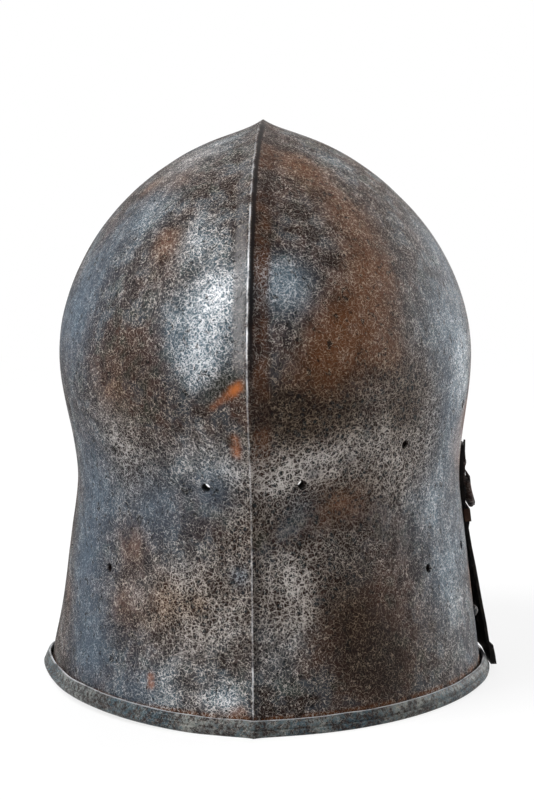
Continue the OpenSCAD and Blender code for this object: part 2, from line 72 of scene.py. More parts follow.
# A material or a world under construction
class Paint:
    def __init__(self, owner):
        owner.use_nodes = True
        self.owner = owner
        self.tree = owner.node_tree

    def node(self, kind, settings=None, values=None, output=0):
        made = self.tree.nodes.new("ShaderNode" + kind)
        for name, value in (settings or {}).items():
            if name == "stops":
                self.setStops(made.color_ramp.elements, value)
            else:
                setattr(made, name, value)
        for name, value in (values or {}).items():
            self.feed(made.inputs[name], value)
        return Wire(self, made.outputs[output])

    def setStops(self, elements, stops):
        while len(elements) < len(stops):
            elements.new(1)
        for element, (place, colour) in zip(elements, stops):
            element.position = place
            element.color = (*colour, 1)

    def feed(self, socket, value):
        if isinstance(value, Wire):
            self.tree.links.new(value.socket, socket)
        elif socket.type == "RGBA":
            socket.default_value = (*value, 1)
        else:
            socket.default_value = value

    def place(self):
        return self.node("TexCoord", output="Object")

    def distance(self, value, centre):
        return self.node("Math", {"operation": "ABSOLUTE"}, {0: value - centre})

    def attribute(self, name):
        return self.node("Attribute", {"attribute_name": name}, output="Fac")

    def noise(self, place, scale, detail=2.0, rough=0.5, output="Fac"):
        values = {"Vector": place, "Scale": scale, "Detail": detail, "Roughness": rough}
        return self.node("TexNoise", {}, values, output)

    def cells(self, place, scale, feature="DISTANCE_TO_EDGE"):
        return self.node("TexVoronoi", {"feature": feature}, {"Vector": place, "Scale": scale})

    # Rises smoothly from 0 to 1 between two values, or falls when they are given the other way round
    def ramp(self, value, low, high):
        settings = {"interpolation_type": "SMOOTHSTEP"}
        return self.node("MapRange", settings, {"Value": value, "From Min": low, "From Max": high})

    def blend(self, amount, first, second):
        settings = {"data_type": "RGBA", "blend_type": "MIX", "clamp_factor": True}
        return self.node("Mix", settings, {0: amount, 6: first, 7: second}, 2)

    # Moves a place by a share of a noise's colour
    def warped(self, place, scale, reach):
        drift = self.node("VectorMath", {"operation": "SUBTRACT"},
                          {0: self.noise(place, scale, 2, output="Color"), 1: (0.5, 0.5, 0.5)})
        drift = self.node("VectorMath", {"operation": "SCALE"}, {0: drift, "Scale": reach})
        return self.node("VectorMath", {"operation": "ADD"}, {0: place, 1: drift})

    def bumps(self, height, look):
        values = {"Strength": look["bump"], "Distance": look["bumpDepth"], "Height": height}
        return self.node("Bump", {}, values)

    def finish(self, **sockets):
        shader = self.tree.nodes["Principled BSDF"]
        for name, value in sockets.items():
            self.feed(shader.inputs[name.replace("_", " ")], value)
        return self.owner


camera = {
    "azimuth": -3.216, "elevation": 8.896, "roll": -0.769,  # degrees, from straight behind
    "distance": 1.7538, "target": (-0.00075, -0.0061, 0.1448), "focal": 151.5,
}


def makeCamera():
    azimuth, elevation, roll = (math.radians(camera[name]) for name in ("azimuth", "elevation", "roll"))
    level = math.cos(elevation)
    back = Vector((math.sin(azimuth) * level, math.cos(azimuth) * level, math.sin(elevation)))
    right = Vector((0, 0, 1)).cross(back).normalized()
    up = back.cross(right)
    tiltedRight = right * math.cos(roll) + up * math.sin(roll)
    tiltedUp = up * math.cos(roll) - right * math.sin(roll)
    data = bpy.data.cameras.new("camera")
    data.lens = camera["focal"]
    made = bpy.data.objects.new("camera", data)
    scene.collection.objects.link(made)
    turn = Matrix((tiltedRight, tiltedUp, back)).transposed().to_4x4()
    made.matrix_world = Matrix.Translation(Vector(camera["target"]) + back * camera["distance"]) @ turn
    scene.camera = made


makeCamera()
print("camera placed")

# The bowl, in metres: the same forms as the solid's
skull = {
    "domeWidth": 0.214, "waistWidth": 0.201, "skirtWidth": 0.223,
    "domeBack": 0.142, "waistBack": 0.1245, "skirtBack": 0.134,
    "domeFront": 0.125, "waistFront": 0.120, "skirtFront": 0.124,
    "height": 0.286, "widest": 0.169, "waist": 0.105, "waistSoft": 0.06,
    "planPower": 1.85, "crownPower": 1.95, "crownRoot": 1.64,
    "sheet": 0.0018, "ridge": 0.0045, "ridgeSpread": 0.006,
    "wire": 0.0026, "wireSides": 10, "wireRoom": 0.0002, "footCut": 0.0008,
    "lip": 0.005, "lipSteps": (0.35, 0.7, 1.0), "lipTip": 0.8, "lean": 0.0017,
    "eyeHalf": 0.068, "eyeHeight": 0.145, "brow": 0.174,
    "cheekHalf": 0.045, "cheekHeight": 0.112, "chinHalf": 0.038, "corner": 0.014,
    "holeRadius": 0.0021, "holeSides": 28,
    "punchSeed": 4, "punchNarrow": 0.4, "punchWide": 1.9, "punchLength": 0.024,
    "ovals": ((0.98, 1.08), (0.96, 1.06)),
    "leftHoles": ((14.5, 0.121), (45, 0.134), (70, 0.148), (103, 0.166), (134, 0.184), (166, 0.190),
                  (48, 0.0725), (76, 0.073)),
    "rightHoles": ((15.5, 0.122), (47, 0.136), (78, 0.146), (103, 0.166), (134, 0.184), (166, 0.190),
                   (56, 0.0695), (79, 0.072)),
    "rivetTurn": 89.5, "rivetHeight": 0.033, "shankRadius": 0.00155,
    # The two holes whose punch stood crooked, by turn and height: how far sideways and up
    "collar": 0.0038, "leans": {(165.5, 0.121): (0.10, -0.08), (195.5, 0.122): (-0.42, -0.15)},
    "halfColumns": 200, "crowding": 0.7, "joinShare": 0.23,
    "rows": {"corner": 14, "cheek": 52, "eye": 20, "brow": 26, "dome": 84},
    "rollSteps": 12,
}
turnRadius = skull["wire"] / 2 + skull["wireRoom"] + skull["sheet"] / 2
edgeHeight = turnRadius + skull["sheet"] / 2 - skull["footCut"]
middleY = (skull["domeFront"] + 2 * turnRadius - skull["domeBack"]) / 2
# Points closer than this are one point
weld = 1e-6


def mix(a, b, t):
    return a + (b - a) * t


def smooth(t):
    t = np.clip(t, 0, 1)
    return t * t * (3 - 2 * t)


# A half width or depth of the bowl at a height: a flare below the waist, a swell above it, then the dome
def profile(z, skirt, waist, widest, power, root):
    soft = skull["waistSoft"]
    down = np.clip((skull["waist"] - z) / skull["waist"], 0, None)
    flare = (np.sqrt(down ** 2 + soft ** 2) - soft) / (math.sqrt(1 + soft ** 2) - soft)
    low = mix(waist, skirt, flare)
    middle = mix(waist, widest, smooth((z - skull["waist"]) / (skull["widest"] - skull["waist"])))
    rise = np.clip((z - skull["widest"]) / (skull["height"] - skull["widest"]), 0, 1)
    high = widest * np.clip(1 - rise ** power, 0, None) ** (1 / root)
    return np.where(z <= skull["waist"], low, np.where(z <= skull["widest"], middle, high))


def bowl(z, turn):
    angle = np.radians(turn)
    s, c = np.sin(angle), np.cos(angle)
    power = 2 / skull["planPower"]
    width = profile(z, skull["skirtWidth"] / 2, skull["waistWidth"] / 2, skull["domeWidth"] / 2,
                    skull["crownPower"], skull["crownRoot"])
    front = profile(z, skull["skirtFront"], skull["waistFront"], skull["domeFront"], 2, 2)
    back = profile(z, skull["skirtBack"], skull["waistBack"], skull["domeBack"], 2, 2)
    depth = np.where(c > 0, front, back)
    return np.stack([width * np.sign(s) * np.abs(s) ** power,
                     middleY - depth * np.sign(c) * np.abs(c) ** power, z], axis=-1)


def unit(v):
    return v / np.maximum(np.linalg.norm(v, axis=-1, keepdims=True), 1e-12)


def bowlNormal(z, turn):
    step = np.minimum(0.0005, (skull["height"] - z) / 4)
    return unit(np.cross(bowl(z, turn + 1) - bowl(z, turn - 1), bowl(z + step, turn) - bowl(z - step, turn)))


def noiseAt(points, scale, seed=0.0):
    flat = points.reshape(-1, 3) * scale + seed
    return np.array([noise.noise(Vector(p)) for p in flat]).reshape(points.shape[:-1])


# What the hammer and five centuries left: place, radius and depth of each dent or swell
handWork = {
    "swell": 0.0005, "swellScale": 14, "marks": 0.00022, "markScale": 62,
    "dents": (
        ((0.011, 0.134, 0.169), 0.0080, -0.0024),
        ((0.024, 0.128, 0.158), 0.013, -0.0010),
        ((0.016, 0.121, 0.196), 0.016, 0.0006),
        ((0.009, 0.128, 0.142), 0.011, -0.0008),
        ((-0.036, 0.107, 0.110), 0.020, -0.0008),
        ((0.060, 0.092, 0.118), 0.022, -0.0009),
        ((0.100, 0.005, 0.122), 0.036, -0.0022),
        ((0.112, -0.020, 0.006), 0.028, 0.0044),
        ((-0.078, 0.062, 0.205), 0.025, -0.0008),
        ((0.050, -0.080, 0.215), 0.024, -0.0010),
    ),
    # Nothing is dented under the buckle
    "calmAt": (-0.105, -0.017), "calm": 0.020, "calmEdge": 0.8,
    "lift": 0.0032, "liftTop": 0.10, "ripple": 0.10, "rippleScale": 55,
}


# The left side of the skirt stands a little higher than the right
def lift(points):
    leftward = smooth(points[..., 0] / (skull["skirtWidth"] / 2))
    rise = handWork["lift"] * leftward * smooth(1 - points[..., 2] / handWork["liftTop"])
    level = np.zeros_like(rise)
    return np.stack([level, level, rise], axis=-1)


def offset(points):
    total = handWork["swell"] * noiseAt(points, handWork["swellScale"], 3.1)
    total = total + handWork["marks"] * noiseAt(points, handWork["markScale"], 7.7)
    for place, radius, height in handWork["dents"]:
        distance = np.linalg.norm(points - np.array(place), axis=-1)
        total = total + height * np.exp(-(distance / radius) ** 2)
    away = np.linalg.norm(points[..., :2] - np.array(handWork["calmAt"]), axis=-1) / handWork["calm"]
    return total * smooth(away - handWork["calmEdge"])


def faceHalf(z):
    inCorner = np.maximum(skull["corner"] - (z - edgeHeight), 0)
    corner = skull["corner"] - np.sqrt(np.maximum(skull["corner"] ** 2 - inCorner ** 2, 0))
    top = (z - skull["eyeHeight"]) / (skull["brow"] - skull["eyeHeight"])
    eye = skull["eyeHalf"] * np.sqrt(np.clip(1 - top ** 2, 0, 1))
    cheek = mix(skull["cheekHalf"], skull["eyeHalf"],
                smooth((z - skull["cheekHeight"]) / (skull["eyeHeight"] - skull["cheekHeight"])))
    chin = mix(skull["chinHalf"], skull["cheekHalf"], smooth(z / skull["cheekHeight"])) + corner
    return np.where(z >= skull["eyeHeight"], eye, np.where(z >= skull["cheekHeight"], cheek, chin))


def rowHeights():
    rows = skull["rows"]
    cornerTop = edgeHeight + skull["corner"]
    share = lambda name: np.arange(rows[name]) / rows[name]
    dome = skull["height"] - skull["widest"]
    browRise = math.degrees(math.asin((skull["brow"] - skull["widest"]) / dome))
    front = np.concatenate([
        edgeHeight + skull["corner"] * (1 - np.cos(np.radians(90 * share("corner")))),
        mix(cornerTop, skull["cheekHeight"], share("cheek")),
        mix(skull["cheekHeight"], skull["eyeHeight"], share("eye")),
        mix(skull["eyeHeight"], skull["brow"],
            np.sin(np.radians(90 * np.arange(rows["brow"] + 1) / rows["brow"]))),
        skull["widest"] + dome * np.sin(np.radians(mix(browRise, 90, share("dome")[1:]))),
    ])
    openRows = rows["corner"] + rows["cheek"] + rows["eye"] + rows["brow"]
    even = mix(edgeHeight, skull["brow"], np.arange(len(front)) / openRows)
    return front, np.where(np.arange(len(front)) < openRows, even, front), openRows


# Angle from the front of a column, and how the face opening pushes the near ones back
def ringTurn(column):
    u = 1 - 2 * column / skull["halfColumns"]
    return 90 * (1 - mix(u, np.sin(np.radians(90 * u)), skull["crowding"]))


def skullGrid():
    front, back, openRows = rowHeights()
    columns = 2 * skull["halfColumns"]
    near = ringTurn(np.minimum(np.arange(columns + 1), columns - np.arange(columns + 1)))[None, :]
    joinTurn = ringTurn(int(skull["halfColumns"] * skull["joinShare"] * 2))
    half = profile(front, skull["skirtWidth"] / 2, skull["waistWidth"] / 2, skull["domeWidth"] / 2,
                   skull["crownPower"], skull["crownRoot"])
    sine = np.clip((faceHalf(front) / np.maximum(half, 1e-6)) ** (skull["planPower"] / 2), 0, 1)
    edgeTurn = np.where(front >= skull["brow"] - 1e-9, 0, np.degrees(np.arcsin(sine)))[:, None]
    turn = np.where(near < joinTurn, mix(edgeTurn, joinTurn, near / joinTurn), near)
    turn = np.where(np.arange(columns + 1)[None, :] <= skull["halfColumns"], turn, 360 - turn)
    height = mix(front[:, None], back[:, None], smooth(near / joinTurn))
    return height, turn, openRows


def skullSkins():
    height, turn, openRows = skullGrid()
    base = bowl(height, turn)
    normal = bowlNormal(height, turn)
    rise = skull["ridge"] * np.exp(-np.abs(base[..., 0]) / skull["ridgeSpread"]) + offset(base)
    outer = base + lift(base) + normal * rise[..., None]
    inner = outer - normal * skull["sheet"]
    return outer, inner, normal, openRows


def edgeLoop(grid, openRows):
    return np.concatenate([grid[0, :], grid[1:openRows, -1], grid[openRows:openRows + 1, 0],
                           grid[openRows - 1:0:-1, 0]])


# Middle line of the rolled sheet as (outward, away from the wall), with the direction of its inner side
def rollPath():
    steps = skull["rollSteps"]
    angles = np.radians(180 * np.arange(steps + 1) / steps)
    path = []
    for a in angles:
        path.append(((turnRadius * math.sin(a), turnRadius * (1 - math.cos(a))), (-math.sin(a), math.cos(a))))
    lip = np.array([-skull["lip"], -skull["lean"]])
    along = lip / np.linalg.norm(lip)
    side = (along[1], -along[0])
    start = np.array([0, 2 * turnRadius])
    path += [(tuple(start + lip * share), side) for share in skull["lipSteps"]]
    return path, along


def gridFaces(rows, columns, start, flip, wrap=False):
    i, j = np.meshgrid(np.arange(rows - 1), np.arange(columns if wrap else columns - 1), indexing="ij")
    a = start + i * columns + j
    b = start + i * columns + (j + 1) % columns
    faces = np.stack([a, a + columns, b + columns, b], axis=-1).reshape(-1, 4)
    return faces[:, ::-1] if flip else faces


def meshFrom(name, points, faces, caps=()):
    mesh = bpy.data.meshes.new(name)
    mesh.from_pydata(points.tolist(), [], faces.tolist() + [list(cap) for cap in caps])
    tidy = bmesh.new()
    tidy.from_mesh(mesh)
    bmesh.ops.remove_doubles(tidy, verts=tidy.verts, dist=weld)
    bmesh.ops.recalc_face_normals(tidy, faces=tidy.faces)
    tidy.to_mesh(mesh)
    tidy.free()
    made = bpy.data.objects.new(name, mesh)
    scene.collection.objects.link(made)
    return made


def edgeFrames(outer, inner, normal, openRows):
    middle = edgeLoop((outer + inner) / 2, openRows)
    off = edgeLoop(normal, openRows)
    along = unit(np.roll(middle, -1, axis=0) - np.roll(middle, 1, axis=0))
    return middle, unit(np.cross(along, off)), off


def makeSkull():
    outer, inner, normal, openRows = skullSkins()
    rows, columns = outer.shape[:2]
    middle, outward, off = edgeFrames(outer, inner, normal, openRows)
    path, along = rollPath()
    half = skull["sheet"] / 2
    ripple = 1 + handWork["ripple"] * noiseAt(middle, handWork["rippleScale"], 1.3)[:, None]
    rollOuter, rollInner = [], []
    for (out, away), (sideOut, sideAway) in path:
        stretch = ripple if out < 0 else 1
        spot = middle + outward * out * stretch + off * away
        side = outward * sideOut + off * sideAway
        rollInner.append(spot + side * half)
        rollOuter.append(spot - side * half)
    rolled = middle + outward * path[-1][0][0] * ripple + off * path[-1][0][1]
    tip = rolled + (outward * along[0] + off * along[1]) * half * skull["lipTip"]
    section = np.array(rollInner + [tip] + rollOuter[::-1])
    section[..., 2] = np.maximum(section[..., 2], 0)
    points = np.concatenate([outer.reshape(-1, 3), inner.reshape(-1, 3), section.reshape(-1, 3)])
    top = np.array([[0, middleY, skull["height"] + skull["ridge"]]])
    count = rows * columns
    loop = len(middle)
    points = np.concatenate([points, top, top - [[0, 0, skull["sheet"]]]])
    faces = np.concatenate([gridFaces(rows, columns, 0, False), gridFaces(rows, columns, count, True),
                            gridFaces(len(section), loop, 2 * count, False, wrap=True)])
    last = (rows - 1) * columns
    apex = len(points) - 2
    caps = [(last + j, apex, last + j + 1) for j in range(columns - 1)]
    caps += [(count + last + j + 1, apex + 1, count + last + j) for j in range(columns - 1)]
    return meshFrom("skullSheet", points, faces, caps), section, len(path)


skullSheet, rolledSheet, lipRow = makeSkull()
print("skull:", len(skullSheet.data.polygons), "faces")


def makeRimWire():
    outer, inner, normal, openRows = skullSkins()
    middle, outward, off = edgeFrames(outer, inner, normal, openRows)
    sides = skull["wireSides"]
    rings = []
    for side in range(sides):
        a = 2 * math.pi * side / sides
        rings.append(middle + outward * skull["wire"] / 2 * math.cos(a)
                     + off * (turnRadius + skull["wire"] / 2 * math.sin(a)))
    rings.append(rings[0])
    points = np.array(rings)
    return meshFrom("rimWire", points.reshape(-1, 3), gridFaces(sides + 1, len(middle), 0, False, wrap=True))


rimWire = makeRimWire()
print("rim wire made")


# Punches: one cutter for each hole, square to the wall and a little out of true
def makePunches():
    draw = random.Random(skull["punchSeed"])
    cutters, collars = bmesh.new(), bmesh.new()
    places = [(180 - angle, z, skull["holeRadius"]) for angle, z in skull["leftHoles"]]
    places += [(180 + angle, z, skull["holeRadius"]) for angle, z in skull["rightHoles"]]
    places.append((180 + skull["rivetTurn"], skull["rivetHeight"], skull["shankRadius"]))
    for turn, z, radius in places:
        lean = skull["leans"].get((turn, z), (0, 0))
        at, height = np.array([float(turn)]), np.array([z])
        base = bowl(height, at)
        spot, out = Vector((base + lift(base))[0]), Vector(bowlNormal(height, at)[0])
        crooked = out + out.cross(Vector((0, 0, 1))) * lean[0] + Vector((0, 0, 1)) * lean[1]
        turned = crooked.to_track_quat("Z", "Y").to_matrix().to_4x4()
        oval = Matrix.Diagonal([draw.uniform(*span) for span in skull["ovals"]] + [1, 1])
        where = Matrix.Translation(spot) @ turned @ oval
        bmesh.ops.create_cone(cutters, cap_ends=True, segments=skull["holeSides"], matrix=where,
                              radius1=radius * skull["punchNarrow"], radius2=radius * skull["punchWide"],
                              depth=skull["punchLength"])
        if radius == skull["holeRadius"]:
            addCollar(collars, where, radius)
    return pieceFrom("punches", cutters), pieceFrom("collars", collars)


# The metal that the punch turned inward: a short tube on the inner side of a hole
def addCollar(shapes, where, radius):
    depth, top = skull["collar"], -skull["sheet"] * 0.6
    outline = [(radius, top), (radius * 1.02, -depth), (radius * 1.12, -depth * 1.06),
               (radius * 1.3, -depth * 0.9), (radius * 1.5, top * 1.6), (radius * 1.5, top)]
    sides = skull["holeSides"]
    rings = []
    for side in range(sides):
        a = 2 * math.pi * side / sides
        spots = [Vector((r * math.cos(a), r * math.sin(a), h)) for r, h in outline]
        rings.append([shapes.verts.new(where @ spot) for spot in spots])
    for side in range(sides):
        ring, following = rings[side], rings[(side + 1) % sides]
        for k in range(len(outline)):
            j = (k + 1) % len(outline)
            shapes.faces.new((ring[k], ring[j], following[j], following[k]))


def pieceFrom(name, shapes):
    bmesh.ops.recalc_face_normals(shapes, faces=shapes.faces)
    mesh = bpy.data.meshes.new(name)
    shapes.to_mesh(mesh)
    shapes.free()
    made = bpy.data.objects.new(name, mesh)
    scene.collection.objects.link(made)
    return made


def cut(piece, cutter):
    trim = piece.modifiers.new("holes", "BOOLEAN")
    trim.operation = "DIFFERENCE"
    trim.solver = "EXACT"
    trim.object = cutter
    applyModifiers(piece)
    bpy.data.objects.remove(cutter)


def applyModifiers(piece):
    graph = bpy.context.evaluated_depsgraph_get()
    final = bpy.data.meshes.new_from_object(piece.evaluated_get(graph))
    piece.modifiers.clear()
    piece.data = final


def join(piece, other):
    shapes = bmesh.new()
    shapes.from_mesh(piece.data)
    shapes.from_mesh(other.data)
    shapes.to_mesh(piece.data)
    shapes.free()
    bpy.data.objects.remove(other)


punches, collars = makePunches()
cut(skullSheet, punches)
join(skullSheet, collars)
print("holes punched:", len(skullSheet.data.polygons), "faces")

# Worn, blued, rusted and other places by kind, with painted highlights among the worn ones, painted sheen
# among the blued ones and painted shade among the dark ones and around the dent: place, radius and strength
patches = {
    # Worn metal; the strong patch high on the back's left and those along the right side are painted
    # highlights too
    "wear": (
        ((0.016, 0.123, 0.214), 0.013, 0.55), ((0.011, 0.122, 0.225), 0.012, 0.35),
        ((0.025, 0.099, 0.240), 0.014, 0.5), ((0.032, 0.117, 0.208), 0.022, 0.35),
        ((0.053, 0.061, 0.249), 0.018, 0.35), ((0.024, 0.128, 0.190), 0.018, 0.50),
        ((0.010, 0.125, 0.131), 0.012, 0.5), ((0.030, 0.119, 0.135), 0.018, 0.35),
        ((0.067, 0.093, 0.141), 0.018, 0.35), ((-0.024, 0.122, 0.135), 0.016, 0.60),
        ((-0.043, 0.113, 0.139), 0.016, 0.45), ((-0.066, 0.095, 0.144), 0.015, 0.45),
        ((-0.073, 0.079, 0.123), 0.018, 0.25), ((-0.009, 0.121, 0.121), 0.008, 0.6),
        ((-0.018, 0.120, 0.078), 0.016, 0.40), ((-0.022, 0.118, 0.058), 0.016, 0.40),
        ((-0.013, 0.124, 0.035), 0.014, 0.25), ((0.014, 0.122, 0.056), 0.009, 0.50),
        ((0.014, 0.125, 0.017), 0.011, 0.75), ((0.034, 0.112, 0.079), 0.012, 0.45),
        ((0.030, 0.116, 0.045), 0.012, 0.35), ((0.044, 0.110, 0.020), 0.018, 0.30),
        ((0.055, 0.098, 0.066), 0.012, 0.25), ((-0.016, 0.119, 0.222), 0.014, 0.50),
        ((0.026, 0.129, 0.180), 0.016, 0.40), ((-0.086, 0.060, 0.175), 0.028, 0.22),
        ((-0.090, 0.048, 0.110), 0.028, 0.30), ((-0.098, 0.040, 0.055), 0.028, 0.35),
    ),
    # Blued patina; the big patches on the left and right sides are painted sheen, the sides' reflection
    "blue": (
        ((0.084, 0.050, 0.215), 0.030, 0.5), ((0.092, 0.050, 0.187), 0.026, 0.5),
        ((0.085, 0.060, 0.115), 0.030, 0.7), ((0.092, 0.053, 0.072), 0.024, 0.7),
        ((0.089, 0.067, 0.030), 0.026, 0.8), ((0.050, 0.100, 0.111), 0.022, 0.6),
        ((-0.093, 0.010, 0.220), 0.024, 0.4), ((-0.100, 0.030, 0.183), 0.024, 0.4),
        ((-0.098, 0.025, 0.130), 0.026, 0.45), ((-0.100, 0.020, 0.077), 0.026, 0.45),
        ((-0.017, 0.119, 0.220), 0.014, 0.8), ((0.029, 0.126, 0.192), 0.020, 0.5),
        ((0.006, 0.120, 0.078), 0.005, 0.9), ((0.018, 0.117, 0.120), 0.012, 0.6),
        ((0.060, 0.100, 0.013), 0.018, 0.5), ((0.058, 0.055, 0.250), 0.020, 0.4),
        ((-0.023, 0.115, 0.110), 0.008, 0.4), ((-0.088, 0.050, 0.190), 0.024, 0.4),
        ((-0.088, 0.050, 0.150), 0.022, 0.4), ((-0.087, 0.055, 0.100), 0.020, 0.45),
        ((-0.092, 0.050, 0.060), 0.020, 0.45),
    ),
    "rust": (
        ((0.045, 0.108, 0.222), 0.018, 0.20), ((0.062, 0.100, 0.165), 0.022, 0.15),
        ((-0.046, 0.112, 0.202), 0.024, 0.65), ((-0.034, 0.127, 0.172), 0.022, 0.6),
        ((-0.062, 0.085, 0.223), 0.020, 0.6), ((-0.047, 0.069, 0.249), 0.022, 0.5),
        ((-0.022, 0.050, 0.272), 0.020, 0.6), ((-0.068, 0.099, 0.186), 0.020, 0.5),
        ((0.040, 0.089, 0.239), 0.013, 0.6), ((0.038, 0.048, 0.265), 0.014, 0.5),
        ((0.063, 0.089, 0.090), 0.014, 0.5), ((0.047, 0.106, 0.063), 0.018, 0.5),
        ((0.069, 0.087, 0.055), 0.016, 0.4), ((-0.037, 0.111, 0.110), 0.017, 0.35),
        ((-0.055, 0.102, 0.112), 0.017, 0.35), ((-0.071, 0.081, 0.078), 0.020, 0.25),
        ((-0.085, 0.066, 0.044), 0.020, 0.25), ((-0.050, 0.105, 0.050), 0.020, 0.5),
        ((0.007, 0.126, 0.010), 0.005, 1.0), ((0.017, 0.125, 0.010), 0.005, 0.8),
        ((0.075, 0.095, 0.165), 0.018, 0.3), ((0.025, 0.112, 0.062), 0.006, 0.6),
    ),
    # Darker patina, partly painted shade: under the widest line, where the wall faces down, and low on the
    # right
    "dark": (
        ((-0.012, 0.134, 0.163), 0.014, 1.0), ((-0.026, 0.129, 0.157), 0.016, 0.9),
        ((-0.045, 0.117, 0.158), 0.014, 0.6), ((0.041, 0.122, 0.170), 0.022, 0.45),
        ((0.064, 0.105, 0.180), 0.022, 0.40), ((-0.074, 0.089, 0.158), 0.016, 0.6),
        ((-0.055, 0.107, 0.036), 0.024, 1.0), ((-0.047, 0.106, 0.062), 0.018, 0.6),
        ((-0.068, 0.095, 0.025), 0.020, 0.7), ((-0.006, 0.100, 0.247), 0.010, 0.5),
        ((0.016, 0.133, 0.163), 0.006, 0.4), ((-0.004, 0.128, 0.100), 0.008, 0.5),
        ((0.075, 0.070, 0.030), 0.016, 0.2),
    ),
    "coarse": (
        ((-0.030, 0.115, 0.125), 0.040, 0.9), ((-0.075, 0.085, 0.145), 0.035, 0.8),
        ((-0.020, 0.115, 0.080), 0.030, 0.7), ((0.030, 0.115, 0.060), 0.030, 0.5),
        ((0.060, 0.095, 0.135), 0.025, 0.5),
    ),
    "scratch": (
        ((0.0055, 0.136, 0.1730), 0.0040, 0.9), ((0.0085, 0.135, 0.1705), 0.0032, 0.5),
        ((0.0115, 0.134, 0.1680), 0.0024, 0.4), ((0.0145, 0.133, 0.1655), 0.0020, 0.4),
        ((0.0175, 0.132, 0.1630), 0.0018, 0.35),
    ),
    # Painted shade, olive, in and around the scratch's dent
    "halo": (
        ((0.0070, 0.136, 0.1765), 0.0060, 0.9), ((0.0130, 0.134, 0.1745), 0.0055, 0.9),
        ((0.0180, 0.133, 0.1700), 0.0050, 0.7), ((0.0215, 0.132, 0.1650), 0.0045, 0.5),
        ((0.0085, 0.129, 0.146), 0.0045, 0.5),
    ),
    "still": (
        ((-0.040, 0.111, 0.110), 0.014, 0.6), ((-0.060, 0.098, 0.103), 0.016, 0.6),
        ((-0.006, 0.123, 0.092), 0.009, 0.5), ((-0.024, 0.117, 0.097), 0.012, 0.5),
        ((0.050, 0.100, 0.112), 0.018, 0.2), ((0.026, 0.115, 0.102), 0.014, 0.4),
        ((-0.078, 0.080, 0.085), 0.016, 0.5), ((-0.062, 0.095, 0.050), 0.014, 0.4),
        ((-0.033, 0.113, 0.066), 0.005, 0.6), ((-0.017, 0.119, 0.101), 0.006, 0.7),
        ((-0.012, 0.122, 0.068), 0.004, 0.6), ((-0.030, 0.117, 0.128), 0.004, 0.7),
        ((-0.048, 0.108, 0.132), 0.005, 0.6), ((-0.055, 0.105, 0.147), 0.005, 0.6),
        ((-0.023, 0.120, 0.146), 0.004, 0.6),
    ),
    "drip": (
        ((0.0065, 0.130, 0.148), 0.0024, 0.9), ((0.0065, 0.129, 0.144), 0.0024, 0.9),
        ((0.0065, 0.128, 0.140), 0.0024, 0.8), ((0.0065, 0.133, 0.160), 0.0018, 0.4),
        ((0.052, 0.105, 0.024), 0.0018, 0.9), ((0.052, 0.106, 0.020), 0.0018, 0.9),
        ((0.006, 0.126, 0.012), 0.0022, 0.3), ((0.010, 0.126, 0.011), 0.0020, 0.25),
    ),
}


def spread(points, kind):
    total = np.zeros(len(points))
    for place, radius, strength in patches[kind]:
        distance = np.linalg.norm(points - np.array(place), axis=1)
        total += strength * np.exp(-(distance / radius) ** 2)
    return np.clip(total, 0, 1)


# More patches: kind, number and strength, and where they may lie
scattered = {
    "seed": 11, "kinds": (("wear", 46, 0.40), ("blue", 16, 0.45), ("rust", 26, 0.6)),
    "turns": (-125, 125), "heights": (0.01, 0.28), "ahead": 0.03, "radii": (0.008, 0.022),
}


# Drawn at random over the front, the sides and the top, away from the nape
def scatter():
    draw = random.Random(scattered["seed"])
    for kind, count, strength in scattered["kinds"]:
        extra = []
        while len(extra) < count:
            turn = np.array([draw.uniform(*scattered["turns"])])
            height = np.array([draw.uniform(*scattered["heights"])])
            place = bowl(height, turn)[0]
            if place[1] < scattered["ahead"]:
                radius = draw.uniform(*scattered["radii"])
                extra.append((tuple(place), radius, strength * draw.uniform(0.5, 1)))
        patches[kind] += tuple(extra)


def setAttribute(piece, name, values):
    layer = piece.data.attributes.new(name, "FLOAT", "POINT")
    layer.data.foreach_set("value", np.ascontiguousarray(values, dtype=np.float32))


def pointsOf(piece):
    flat = np.zeros(3 * len(piece.data.vertices), np.float32)
    piece.data.vertices.foreach_get("co", flat)
    return flat.reshape(-1, 3).astype(float)


# Where the wall starts above the roll, the rusty seam between them, and the heights at which a painted
# highlight brightens the crest
marks = {
    "wallFrom": 0.009, "seamTop": 0.0105, "seamFade": 0.0012, "napeFrom": -0.02, "napeFade": 0.04,
    "glint": 0.25, "glints": ((0.215, 0.75), (0.030, 0.35)), "glintSpread": 0.035, "sameSpot": 1e-5,
}


# Marks the rolled sheet and the free edge of its lip
def markRoll(points):
    rows, columns = rolledSheet.shape[:2]
    tree = KDTree(rows * columns)
    for index, point in enumerate(rolledSheet.reshape(-1, 3)):
        tree.insert(point, index)
    tree.balance()
    rim, lip = np.zeros(len(points)), np.zeros(len(points))
    for index, point in enumerate(points):
        nearest, distance = tree.find(point)[1:]
        if distance < marks["sameSpot"]:
            rim[index] = 1
            lip[index] = nearest // columns == lipRow
    return rim, lip


# Marks the inner skin and the far half of the holes' walls
def markInside(points):
    outer, inner, normal, openRows = skullSkins()
    inner, normal = inner.reshape(-1, 3), normal.reshape(-1, 3)
    tree = KDTree(len(inner))
    for index, point in enumerate(inner):
        tree.insert(point, index)
    tree.balance()
    nearest = np.array([tree.find(point)[1] for point in points])
    return (np.sum((points - inner[nearest]) * normal[nearest], axis=1) < skull["sheet"] / 2).astype(float)


